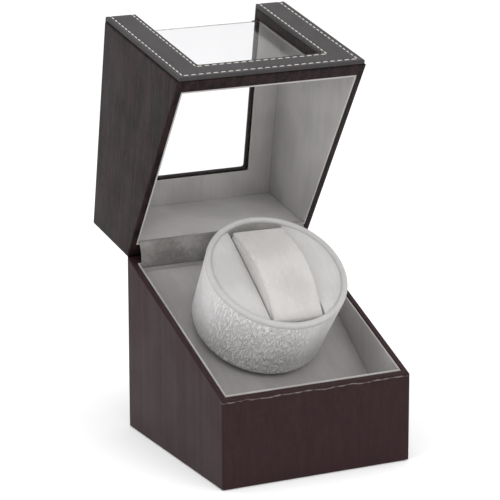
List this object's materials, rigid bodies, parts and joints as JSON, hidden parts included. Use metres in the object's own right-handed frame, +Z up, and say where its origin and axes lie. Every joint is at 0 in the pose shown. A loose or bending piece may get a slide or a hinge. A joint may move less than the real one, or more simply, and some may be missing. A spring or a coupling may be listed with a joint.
{
  "type": "watch winder box",
  "caption": "Hinged leatherette box with a sloping split line and a wrap-around window, holding a tilted motor-driven drum with a watch cushion.",
  "frame": {"origin": "centre of the footprint, on the surface that the box stands on", "axes": "+Z up, the front of the box faces -Y, +X to the right seen from the front"},
  "size_m": [0.125, 0.1891, 0.2552],
  "materials": {
    "dark_leather": "espresso leatherette, semi-matt",
    "frame_leather": "espresso leatherette, stitched",
    "grey_suede": "warm grey suede",
    "clear_acrylic": "clear polished",
    "fibreboard": "raw fibreboard",
    "black_felt": "felt",
    "drum_leather": "light grey grained leatherette",
    "drum_suede": "light grey suede",
    "cushion_suede": "pale suede",
    "foam": "foam",
    "white_moulding": "moulded",
    "steel": "bright",
    "motor_steel": "drawn",
    "brass": "turned",
    "white_gear": "moulded",
    "board_green": "solder mask",
    "black_plastic": "moulded"
  },
  "bodies": {
    "base": {"base_back_board": "fibreboard", "base_front_board": "fibreboard", "base_leather": "dark_leather", "base_linings": "grey_suede", "base_side_boards": "fibreboard", "board_parts": "black_plastic", "bottom_felt": "black_felt", "bottom_panel": "fibreboard", "bottom_screws": "steel", "case_screws": "steel", "control_board": "board_green", "dc_jack": "black_plastic", "dc_pin": "brass", "deck_board": "fibreboard", "deck_suede": "grey_suede", "gear_axles": "steel", "gearbox_case": "black_plastic", "gearbox_cover": "black_plastic", "hinge_base_leaves": "steel", "hinge_base_screws": "steel", "hinge_flap": "grey_suede", "hinge_pins": "steel", "hinge_strip": "frame_leather", "motor_can": "motor_steel", "motor_screws": "steel", "mount_screws": "steel", "output_bush": "brass", "rear_plate": "black_plastic", "rocker_frame": "black_plastic", "wood_blocks": "fibreboard"},
    "lid": {"lid_leather": "dark_leather", "lid_side_boards": "fibreboard", "lid_front_board": "fibreboard", "lid_top_board": "fibreboard", "lid_rear_board": "fibreboard", "window_front_pane": "clear_acrylic", "window_top_pane": "clear_acrylic", "lid_side_linings": "grey_suede", "lid_front_lining": "grey_suede", "lid_top_lining": "grey_suede", "lid_rear_lining": "grey_suede", "frame_front": "frame_leather", "frame_top": "frame_leather", "hinge_lid_leaves": "steel", "hinge_lid_screws": "steel"},
    "drum": {"drum_wrap": "drum_leather", "drum_shell": "white_moulding", "drum_rim": "drum_leather", "drum_lining": "drum_suede", "drum_cheeks": "drum_suede", "output_shaft": "steel", "output_gear": "white_gear", "hub_screw": "steel"},
    "cushion": {"cushion_core": "foam", "cushion_cover": "cushion_suede"},
    "second_gear": {"second_gear": "white_gear"},
    "first_gear": {"first_gear": "white_gear"},
    "rotor": {"motor_shaft": "steel", "motor_pinion": "brass"},
    "rocker": {"rocker_button": "black_plastic"}
  },
  "joints": [
    {"name": "lid_hinge", "type": "hinge", "parent": "base", "child": "lid", "pos_m": [0, 0.0675, 0.11], "axis": [1, 0, 0], "range_deg": [0, 80], "deforming": ["hinge_flap", "hinge_strip"]},
    {"name": "drum_spin", "type": "hinge", "parent": "base", "child": "drum", "pos_m": [0, 0.0151, 0.07073], "axis": [0, -0.5664, 0.8241], "continuous": true},
    {"name": "cushion_slide", "type": "slide", "parent": "drum", "child": "cushion", "axis": [0, -0.5664, 0.8241], "range_m": [0, 0.015]},
    {"name": "second_gear_spin", "type": "hinge", "parent": "base", "child": "second_gear", "pos_m": [-0.01455, 0.0151, 0.07073], "axis": [0, -0.5664, 0.8241], "continuous": true},
    {"name": "first_gear_spin", "type": "hinge", "parent": "base", "child": "first_gear", "pos_m": [-0.01455, 0.00311, 0.06248], "axis": [0, -0.5664, 0.8241], "continuous": true},
    {"name": "rotor_spin", "type": "hinge", "parent": "base", "child": "rotor", "pos_m": [0, 0.00311, 0.06248], "axis": [0, -0.5664, 0.8241], "continuous": true},
    {"name": "rocker_press", "type": "hinge", "parent": "base", "child": "rocker", "pos_m": [0.018, 0.0687, 0.027], "axis": [1, 0, 0], "range_deg": [0, 14]}
  ],
  "couplings": [
    {"joint": "second_gear_spin", "follows": "drum_spin", "ratio": -3},
    {"joint": "first_gear_spin", "follows": "drum_spin", "ratio": 9},
    {"joint": "rotor_spin", "follows": "drum_spin", "ratio": -27}
  ]
}
